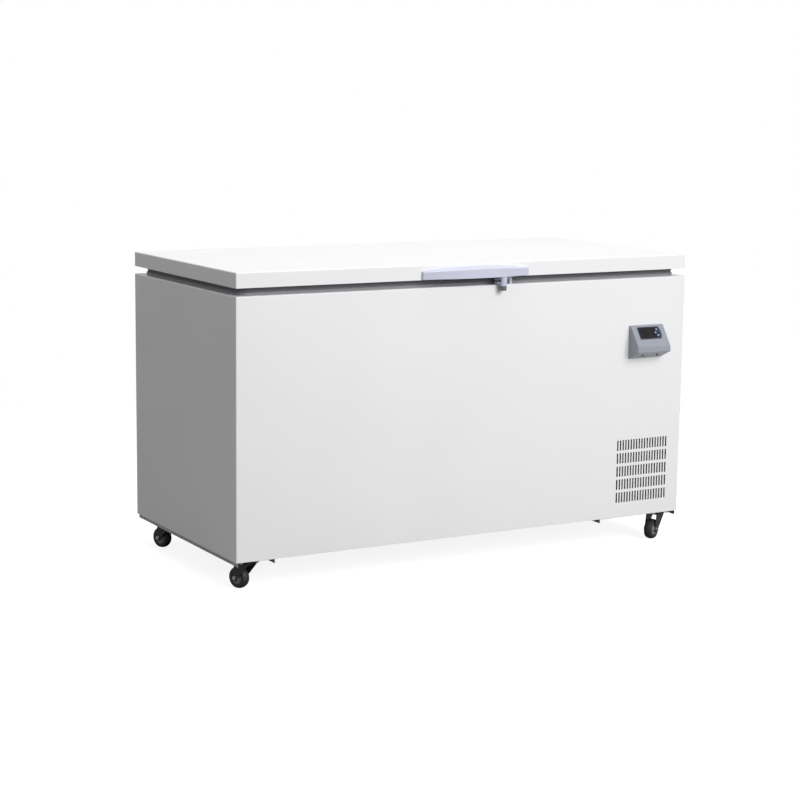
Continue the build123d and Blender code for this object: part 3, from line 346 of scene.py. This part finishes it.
# Rim and inner lid: white ABS and polystyrene sheet, vacuum formed over a tool, so it is smooth
# with a slight waviness and an even half gloss.
formed_plastic = material("vacuum_formed_white_plastic", "#E6E8E8", 0.28)
tones(formed_plastic, "#E2E4E4", "#E9EBEB", 0.25)
relief(formed_plastic, 0.03, 0.00004)
gloss_range(formed_plastic, 0.1, 0.27, 0.30)
dress(formed_plastic, "rim_frame", "lid_liner")

# Gasket: extruded grey PVC with a magnet in its foot and a bellows above it. The extrusion is
# matt, with faint ribs along it about 5 mm apart. Painted shade darkens it towards the top, under
# the lid, and painted reflected light lightens its foot.
gasket_vinyl = material("grey_vinyl_gasket", "#55565A", 0.55)
made, tree, shader, spot = gasket_vinyl
heights = add_node(tree, "ShaderNodeSeparateXYZ", {"Vector": spot})
gasket_low, gasket_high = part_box("lid_gasket")
painted_shade_height = add_node(
    tree,
    "ShaderNodeMapRange",
    {
        "Value": heights.outputs["Z"],
        "From Min": gasket_low.z,
        "From Max": gasket_high.z,
    },
)
# Painted shade and light: the colour runs from light at the foot, as painted reflected light, to
# dark at the top, as painted shade under the lid.
painted_shade_ramp = add_node(tree, "ShaderNodeValToRGB", {"Fac": painted_shade_height.outputs[0]})
painted_shade_ramp.color_ramp.elements[0].color = colour("#85868A")
painted_shade_ramp.color_ramp.elements[1].color = colour("#3C3D40")
painted_half_shade = painted_shade_ramp.color_ramp.elements.new(0.42)
painted_half_shade.color = colour("#6E6F73")
tree.links.new(painted_shade_ramp.outputs["Color"], shader.inputs["Base Color"])
rib_pitch = 0.00533
rib_height = 0.00015
# A wave texture at scale 1 has twenty radians of its wave in each metre.
lines = add_node(
    tree,
    "ShaderNodeTexWave",
    {"Vector": spot, "Scale": 2 * pi / 20 / rib_pitch, "Distortion": 0.4},
    bands_direction="Z",
)
groove = add_node(
    tree,
    "ShaderNodeBump",
    {"Height": lines.outputs["Fac"], "Strength": 0.5, "Distance": rib_height},
)
tree.links.new(groove.outputs[0], shader.inputs["Normal"])
dress(gasket_vinyl, "lid_gasket")

# Handle and keeper: injection-moulded ABS, coloured through in a pale grey lavender. The polished
# mould leaves it glossy.
handle_abs = material("lavender_grey_abs", "#C6C8DA", 0.22)
tones(handle_abs, "#C2C4D7", "#CACCDD", 0.08)
relief(handle_abs, 0.02, 0.00004)
dress(handle_abs, "handle", "lock_keeper")

# Lock: a die-cast zinc barrel, nickel plated and dulled by handling, and a stamped steel cam that
# is screwed to its inner end and blackened in hot oxide, which leaves it a soft dark grey.
nickel = material("nickel_plated_zinc", "#77777A", 0.34, 1.0)
tones(nickel, "#6C6C6F", "#808083", 0.01)
gloss_range(nickel, 0.006, 0.28, 0.42)
dress(nickel, "lock_barrel")
black_oxide = material("black_oxide_steel", "#26272A", 0.42, 0.5)
tones(black_oxide, "#202124", "#2E2F32", 0.006)
gloss_range(black_oxide, 0.008, 0.36, 0.5)
dress(black_oxide, "lock_cam")

# Hinges: two pressed steel channels on the cabinet, two plates on the lid and a pin through each
# pair. All are zinc plated after forming, which gives a bright but slightly cloudy metal.
zinc_plate = material("zinc_plated_steel", "#B7B9BB", 0.34, 1.0)
tones(zinc_plate, "#ABADAF", "#C2C4C5", 0.02)
gloss_range(zinc_plate, 0.01, 0.28, 0.42)
dress(
    zinc_plate,
    "left_hinge_channel",
    "right_hinge_channel",
    "left_hinge_plate",
    "right_hinge_plate",
    "hinge_pins",
)

# Control pod: an ABS box, spray painted silver grey and fixed from below by two black screws. The
# paint has a satin sheen and a fine dry grain.
pod_paint = material("silver_grey_pod_paint", "#8F939C", 0.36)
tones(pod_paint, "#8C9099", "#9397A0", 0.05)
relief(pod_paint, 0.0012, 0.00003)
dress(pod_paint, "control_box")

# Panel thermostat: a black ABS case clipped into the pod, with a smoked acrylic window and pale
# blue-grey silicone keys. The window is unlit. Across it the colour runs from dark, through a dim
# reddish band near the middle, to a lighter blue-grey at its right end.
bezel_black = material("black_abs_bezel", "#1C1F27", 0.3)
tones(bezel_black, "#191C23", "#20242D", 0.02)
relief(bezel_black, 0.0008, 0.00003)
dress(bezel_black, "controller")
smoked_window = material("smoked_display_window", "#14171F", 0.16)
made, tree, shader, spot = smoked_window
shader.inputs["Specular IOR Level"].default_value = 0.2
window_low, window_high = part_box("display_window")
across = add_node(tree, "ShaderNodeSeparateXYZ", {"Vector": spot})
span = add_node(
    tree,
    "ShaderNodeMapRange",
    {
        "Value": across.outputs["X"],
        "From Min": window_low.x,
        "From Max": window_high.x,
    },
)
# Colour across the window: dark, a dim reddish band near the middle, and lighter blue-grey at the
# right end.
window_colour_ramp = add_node(tree, "ShaderNodeValToRGB", {"Fac": span.outputs[0]})
window_colour_ramp.color_ramp.elements[0].color = colour("#14181F")
window_colour_ramp.color_ramp.elements[1].color = colour("#3A4858")
for stop, stop_colour in ((0.3, "#10131A"), (0.5, "#221D1B"), (0.62, "#161518"), (0.72, "#0F1520")):
    window_colour_ramp.color_ramp.elements.new(stop).color = colour(stop_colour)
tree.links.new(window_colour_ramp.outputs["Color"], shader.inputs["Base Color"])
dress(smoked_window, "display_window")
key_rubber = material("blue_grey_silicone_key", "#8A9CAC", 0.5)
tones(key_rubber, "#8092A2", "#93A5B4", 0.002)
dress(key_rubber, "key_up", "key_set", "key_down")

# Condenser: thin aluminium fins pressed on a block of tubes, with folded brackets. The fins are
# dull and a little dusty.
fin_aluminium = material("condenser_fin_aluminium", "#A2A4A6", 0.45, 1.0)
tones(fin_aluminium, "#8F9193", "#AFB1B2", 0.03)
gloss_range(fin_aluminium, 0.02, 0.4, 0.55)
dress(fin_aluminium, "condenser")

# Fan, terminal cover and cord gland: moulded in black nylon with glass fibre, so half matt.
# Compressor and motor: deep-drawn steel in baked black enamel. Mounts: black natural rubber.
black_nylon = material("black_glass_filled_nylon", "#262729", 0.45)
tones(black_nylon, "#222325", "#2C2D30", 0.01)
relief(black_nylon, 0.0009, 0.00005)
dress(black_nylon, "fan", "terminal_cover", "cord_gland")
black_enamel = material("baked_black_enamel", "#1F2022", 0.28)
tones(black_enamel, "#1B1C1E", "#26272A", 0.06)
relief(black_enamel, 0.004, 0.00008)
gloss_range(black_enamel, 0.03, 0.22, 0.4)
dress(black_enamel, "compressor", "fan_motor")
mount_rubber = material("black_natural_rubber", "#242424", 0.75)
tones(mount_rubber, "#1F1F1F", "#2A2A2A", 0.008)
relief(mount_rubber, 0.001, 0.00008)
dress(mount_rubber, "compressor_mounts")

# Pipes and filter drier: drawn copper, bent to shape and brazed at the ends, where the heat has
# browned it.
copper = material("drawn_copper", "#C27E5A", 0.32, 1.0)
tones(copper, "#A9674A", "#CC8B66", 0.03)
gloss_range(copper, 0.015, 0.26, 0.45)
dress(copper, "filter_drier", "refrigerant_lines")

# Casters: pressed steel plates and forks in a black electrophoretic coat, a zinc-plated bolt, a
# grey nylon wheel and a black rubber tyre, matt from the mould.
caster_black = material("black_e_coat", "#232427", 0.36)
tones(caster_black, "#1F2023", "#2A2B2F", 0.015)
relief(caster_black, 0.0015, 0.00005)
wheel_grey = material("grey_nylon_wheel", "#96999E", 0.4)
tones(wheel_grey, "#8E9196", "#9EA1A6", 0.008)
relief(wheel_grey, 0.0012, 0.00005)
tyre_rubber = material("black_rubber_tyre", "#1E1E20", 0.62)
tones(tyre_rubber, "#1A1A1C", "#28282A", 0.008)
relief(tyre_rubber, 0.0009, 0.0001)
dress(caster_black, "caster_plates")
for caster in ("caster_fl", "caster_fr", "caster_bl", "caster_br"):
    dress(caster_black, f"{caster}_fork")
    dress(zinc_plate, f"{caster}_axle")
    dress(wheel_grey, f"{caster}_wheel")
    dress(tyre_rubber, f"{caster}_tyre")

# Screws, bolts and nuts: zinc-plated or blackened steel. A pan head with a cross recess holds
# the sheet metal and the pod, and a flanged hexagon holds the casters and the compressor. Each
# head is drawn once, with a radius of 1, and one geometry tree sets it in its places.
def add_ring(made, height, reaches):
    """Add a ring of vertices at this height, each at its own reach from the axis."""
    step = 2 * pi / len(reaches)
    return [
        made.verts.new((reach * cos(step * k), reach * sin(step * k), height))
        for k, reach in enumerate(reaches)
    ]


def join_rings(made, rings):
    """Skin a stack of rings, and close its foot."""
    for lower, upper in zip(rings, rings[1:]):
        for k in range(len(lower)):
            made.faces.new((lower[k - 1], lower[k], upper[k], upper[k - 1]))
    made.faces.new(rings[0][::-1])


def pan_head():
    """Pan head of radius 1 with a cross recess, standing on z = 0."""
    sides, top = 20, 0.56
    arm_reach, arm_half_width = 0.42, 0.12
    recess_floor, recess_taper = 0.24, 0.7
    made = bmesh.new()
    profile = ((1.0, 0.0), (1.0, 0.22), (0.9, 0.42), (0.6, top))
    rings = [add_ring(made, height, [reach] * sides) for reach, height in profile]
    join_rings(made, rings)
    cross = []
    for quarter in range(4):
        turn = Matrix.Rotation(quarter * pi / 2, 3, "Z")
        for corner in (
            (arm_reach, -arm_half_width, top),
            (arm_reach, arm_half_width, top),
            (arm_half_width, arm_half_width, top),
        ):
            cross.append(made.verts.new(turn @ Vector(corner)))
    outline = [made.edges.new((cross[k - 1], cross[k])) for k in range(len(cross))]
    rim = [made.edges.get((rings[-1][k - 1], rings[-1][k])) for k in range(sides)]
    bmesh.ops.triangle_fill(made, use_beauty=True, edges=rim + outline)
    floor_ring = [
        made.verts.new((v.co.x * recess_taper, v.co.y * recess_taper, recess_floor))
        for v in cross
    ]
    for k in range(len(cross)):
        made.faces.new((cross[k], cross[k - 1], floor_ring[k - 1], floor_ring[k]))
    made.faces.new(floor_ring)
    bmesh.ops.recalc_face_normals(made, faces=made.faces)
    return made


def hexagon_head():
    """Hexagon head on a round flange of radius 1, standing on z = 0."""
    sides, flat_reach = 24, 0.68
    made = bmesh.new()
    flange = ((1.0, 0.0), (1.0, 0.12), (0.86, 0.2), (0.8, 0.2))
    rings = [add_ring(made, height, [reach] * sides) for reach, height in flange]
    hexagon = [
        flat_reach / cos((2 * pi * k / sides + pi / 6) % (pi / 3) - pi / 6) for k in range(sides)
    ]
    for height, shrink in ((0.2, 1.0), (0.72, 1.0), (0.84, 0.9)):
        rings.append(add_ring(made, height, [reach * shrink for reach in hexagon]))
    join_rings(made, rings)
    made.faces.new(rings[-1])
    bmesh.ops.recalc_face_normals(made, faces=made.faces)
    return made


heads = {}
for head_name, shape in (("pan_head", pan_head()), ("hexagon_head", hexagon_head())):
    head_mesh = bpy.data.meshes.new(head_name)
    shape.to_mesh(head_mesh)
    shape.free()
    heads[head_name] = bpy.data.objects.new(head_name, head_mesh)
    scene.collection.objects.link(heads[head_name])

fastener_tree = bpy.data.node_groups.new("fastener_set", "GeometryNodeTree")
for socket_name, socket_kind in (
    ("Places", "NodeSocketGeometry"),
    ("Head", "NodeSocketObject"),
    ("Head Radius", "NodeSocketFloat"),
    ("Metal", "NodeSocketMaterial"),
):
    fastener_tree.interface.new_socket(socket_name, in_out="INPUT", socket_type=socket_kind)
fastener_tree.interface.new_socket(
    "Fasteners", in_out="OUTPUT", socket_type="NodeSocketGeometry"
)
given = add_node(fastener_tree, "NodeGroupInput")
facing = add_node(
    fastener_tree,
    "GeometryNodeInputNamedAttribute",
    {"Name": "facing"},
    data_type="FLOAT_VECTOR",
)
turned = add_node(
    fastener_tree,
    "FunctionNodeAlignRotationToVector",
    {"Vector": facing.outputs["Attribute"]},
    axis="Z",
)
head_shape = add_node(fastener_tree, "GeometryNodeObjectInfo", {"Object": given.outputs["Head"]})
placed = add_node(
    fastener_tree,
    "GeometryNodeInstanceOnPoints",
    {
        "Points": given.outputs["Places"],
        "Instance": head_shape.outputs["Geometry"],
        "Rotation": turned.outputs[0],
        "Scale": given.outputs["Head Radius"],
    },
)
solid = add_node(
    fastener_tree, "GeometryNodeRealizeInstances", {"Geometry": placed.outputs["Instances"]}
)
plated = add_node(
    fastener_tree,
    "GeometryNodeSetMaterial",
    {"Geometry": solid.outputs[0], "Material": given.outputs["Metal"]},
)
add_node(fastener_tree, "NodeGroupOutput", {"Fasteners": plated.outputs[0]})


def settle(holder, tree, values):
    """Run a geometry tree on a holder object and keep its result as a plain mesh."""
    scene.collection.objects.link(holder)
    modifier = holder.modifiers.new("shape", "NODES")
    modifier.node_group = tree
    for item in tree.interface.items_tree:
        if item.in_out == "INPUT" and item.name in values:
            modifier[item.identifier] = values[item.name]
    depsgraph = bpy.context.evaluated_depsgraph_get()
    result = bpy.data.meshes.new_from_object(
        holder.evaluated_get(depsgraph), depsgraph=depsgraph
    )
    holder.modifiers.clear()
    holder.data = result


def fasten(name, body, head, radius, metal, outward, places):
    """Set one kind of fastener at several places, all facing the same way."""
    points = bpy.data.meshes.new(name)
    points.from_pydata(places, [], [])
    facings = points.attributes.new("facing", "FLOAT_VECTOR", "POINT")
    facings.data.foreach_set("vector", outward * len(places))
    holder = bpy.data.objects.new(name, points)
    inputs = {"Head": heads[head], "Head Radius": radius, "Metal": metal[0]}
    settle(holder, fastener_tree, inputs)
    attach(holder, body)


backwards, upwards, downwards = (0, 1, 0), (0, 0, 1), (0, 0, -1)
back_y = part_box("rear_panel")[1].y

# Hinge screws: six in each channel, and four in each plate on the lid.
hinge_sheet = 0.0025
hinge_screw_radius = 0.0042
channel_screw_spread = 0.014
channel_screw_rises = (0.016, 0.050, 0.084)
plate_screw_spread = 0.013
plate_screw_drops = (0.008, 0.026)
for side in ("left", "right"):
    channel_low, channel_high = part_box(f"{side}_hinge_channel")
    plate_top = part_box(f"{side}_hinge_plate")[1].z
    middle_x = (channel_low.x + channel_high.x) / 2
    face_y = back_y + hinge_sheet
    fasten(
        f"{side}_hinge_channel_screws",
        "cabinet",
        "pan_head",
        hinge_screw_radius,
        zinc_plate,
        backwards,
        [
            (middle_x + across, face_y, channel_low.z + rise)
            for across in (-channel_screw_spread, channel_screw_spread)
            for rise in channel_screw_rises
        ],
    )
    fasten(
        f"{side}_hinge_plate_screws",
        "lid",
        "pan_head",
        hinge_screw_radius,
        zinc_plate,
        backwards,
        [
            (middle_x + across, face_y, plate_top - drop)
            for across in (-plate_screw_spread, plate_screw_spread)
            for drop in plate_screw_drops
        ],
    )

# Vent cover screws: three along the top edge and three along the bottom one.
vent_screw_radius = 0.0036
vent_screw_inset = 0.0055
vent_sheet = 0.001
vent_low, vent_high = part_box("rear_vent_cover")
vent_columns = (
    vent_low.x + vent_screw_inset,
    (vent_low.x + vent_high.x) / 2,
    vent_high.x - vent_screw_inset,
)
fasten(
    "rear_vent_cover_screws",
    "cabinet",
    "pan_head",
    vent_screw_radius,
    zinc_plate,
    backwards,
    [
        (x, back_y + vent_sheet, z)
        for x in vent_columns
        for z in (vent_low.z + vent_screw_inset, vent_high.z - vent_screw_inset)
    ],
)

# Caster bolts: one near each corner of the four square plates, seen from below.
caster_plate_half = 0.032
caster_bolt_spread = 0.024
caster_bolt_radius = 0.0062
plates_low, plates_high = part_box("caster_plates")
plate_rows = (
    ("f", plates_low.y + caster_plate_half),
    ("b", plates_high.y - caster_plate_half),
)
plate_columns = (
    ("l", plates_low.x + caster_plate_half),
    ("r", plates_high.x - caster_plate_half),
)
for row, plate_y in plate_rows:
    for column, plate_x in plate_columns:
        fasten(
            f"caster_{row}{column}_plate_bolts",
            "cabinet",
            "hexagon_head",
            caster_bolt_radius,
            zinc_plate,
            downwards,
            [
                (plate_x + across, plate_y + along, plates_low.z)
                for across in (-caster_bolt_spread, caster_bolt_spread)
                for along in (-caster_bolt_spread, caster_bolt_spread)
            ],
        )

# Compressor nuts: one on each foot of the base plate, over its rubber mount.
foot_sheet = 0.003
foot_inset = 0.012
foot_nut_radius = 0.0075
feet_low, feet_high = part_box("compressor")
fasten(
    "compressor_mount_nuts",
    "cabinet",
    "hexagon_head",
    foot_nut_radius,
    zinc_plate,
    upwards,
    [
        (x, y, feet_low.z + foot_sheet)
        for x in (feet_low.x + foot_inset, feet_high.x - foot_inset)
        for y in (feet_low.y + foot_inset, feet_high.y - foot_inset)
    ],
)

# Pod screws: two in the sloping underside, blackened.
pod_screw_radius = 0.0042
pod_screw_spread = 0.0275
pod_screw_reach = 0.027
pod_screw_rise = 0.0116
underside_outward = (0, -0.421, -0.907)
pod_low, pod_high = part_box("control_box")
pod_middle_x = (pod_low.x + pod_high.x) / 2
fasten(
    "control_box_screws",
    "cabinet",
    "pan_head",
    pod_screw_radius,
    black_enamel,
    underside_outward,
    [
        (pod_middle_x + across, pod_high.y - pod_screw_reach, pod_low.z + pod_screw_rise)
        for across in (-pod_screw_spread, pod_screw_spread)
    ],
)
for template in heads.values():
    bpy.data.objects.remove(template)
